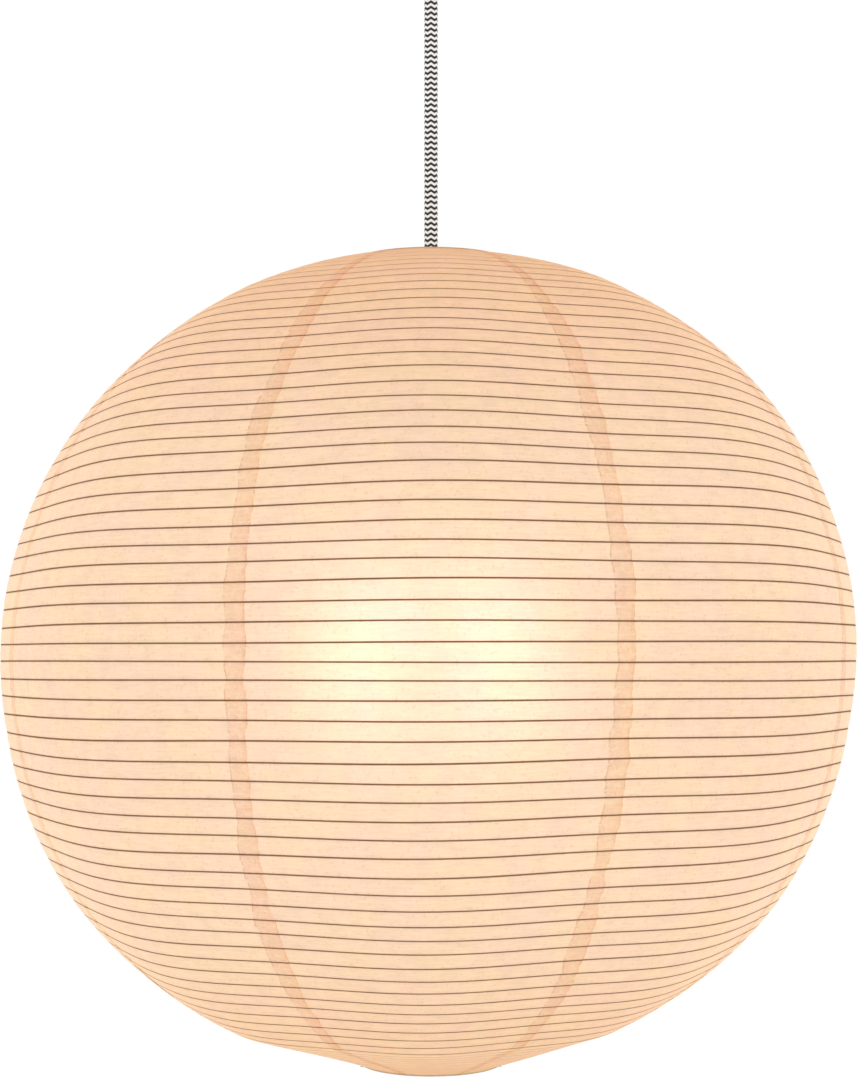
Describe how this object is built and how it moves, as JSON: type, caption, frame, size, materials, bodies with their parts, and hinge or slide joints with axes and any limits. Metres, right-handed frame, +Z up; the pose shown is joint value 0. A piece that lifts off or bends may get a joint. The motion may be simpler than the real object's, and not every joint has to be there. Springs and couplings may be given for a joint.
{
  "type": "paper lantern pendant",
  "caption": "Round paper lantern over a spiral rib, held open by a wire stretcher on a screw lampholder, hung by a textile cord from a ceiling cup.",
  "frame": {"origin": "centre of the ceiling bracket's top face, where it meets the ceiling", "axes": "+Z up along the hanging cord, +X along the ceiling bracket and towards one leg of the wire stretcher, -Y the front"},
  "size_m": [0.45, 0.45, 0.6589],
  "materials": {
    "steel_zinc": "satin zinc",
    "screw_steel": "bright zinc",
    "canopy_paint": "matt white powder coat",
    "grip_black": "fine matt",
    "terminal_nylon": "natural nylon",
    "flex_braid": "black and white zigzag textile braid",
    "holder_white": "fine matt thermoset",
    "holder_ceramic": "unglazed",
    "shell_brass": "bright",
    "core_insulation": "smooth PVC",
    "bulb_opal": "opal diffuser",
    "bulb_plastic": "satin white",
    "board_aluminium": "milled",
    "cap_nickel": "nickel plated",
    "cap_glass": "black vitrite",
    "contact_brass": "bright",
    "washi": "long-fibred mulberry paper, matt",
    "rib_bamboo": "split bamboo strip"
  },
  "bodies": {
    "ceiling_fitting": {"ceiling_bracket": "steel_zinc", "canopy": "canopy_paint", "canopy_screws": "screw_steel", "canopy_gland": "grip_black", "gland_nut": "grip_black", "gland_grub_screw": "screw_steel", "terminal_block": "terminal_nylon", "flex_tail": "flex_braid"},
    "pendant": {"flex": "flex_braid", "holder_cord_grip": "grip_black", "holder_grub_screw": "screw_steel", "holder_cap": "holder_white", "holder_skirt": "holder_white", "holder_core": "holder_ceramic", "thread_shell": "shell_brass", "centre_contact": "shell_brass", "conductors": "core_insulation", "carrier_ring": "steel_zinc", "stretcher_spoke_left": "steel_zinc", "stretcher_spoke_right": "steel_zinc", "stretcher_leg_left": "steel_zinc", "stretcher_leg_right": "steel_zinc", "top_ring": "steel_zinc", "spiral_rib": "rib_bamboo", "paper_gore_1": "washi", "paper_gore_2": "washi", "paper_gore_3": "washi", "paper_gore_4": "washi", "paper_gore_5": "washi", "paper_gore_6": "washi", "paper_gore_7": "washi", "paper_gore_8": "washi"},
    "shade_foot": {"bottom_ring": "steel_zinc"},
    "clamp_nut": {"shade_ring_nut": "holder_white"},
    "bulb": {"bulb_globe": "bulb_opal", "bulb_housing": "bulb_plastic", "led_board": "board_aluminium", "bulb_screw_cap": "cap_nickel", "bulb_insulator": "cap_glass", "bulb_contact": "contact_brass"}
  },
  "joints": [
    {"name": "pendant_swing", "type": "hinge", "parent": "ceiling_fitting", "child": "pendant", "pos_m": [0, 0, -0.069], "axis": [0, 1, 0], "range_deg": [-20, 20]},
    {"name": "shade_fold", "type": "slide", "parent": "pendant", "child": "shade_foot", "axis": [0, 0, 1], "range_m": [0, 0.4], "deforming": ["paper_gore_1", "paper_gore_2", "paper_gore_3", "paper_gore_4", "paper_gore_5", "paper_gore_6", "paper_gore_7", "paper_gore_8", "spiral_rib"]},
    {"name": "nut_unscrew", "type": "slide", "parent": "pendant", "child": "clamp_nut", "axis": [0, 0, -1], "range_m": [0, 0.01]},
    {"name": "bulb_unscrew", "type": "slide", "parent": "pendant", "child": "bulb", "axis": [0, 0, -1], "range_m": [0, 0.045]}
  ]
}
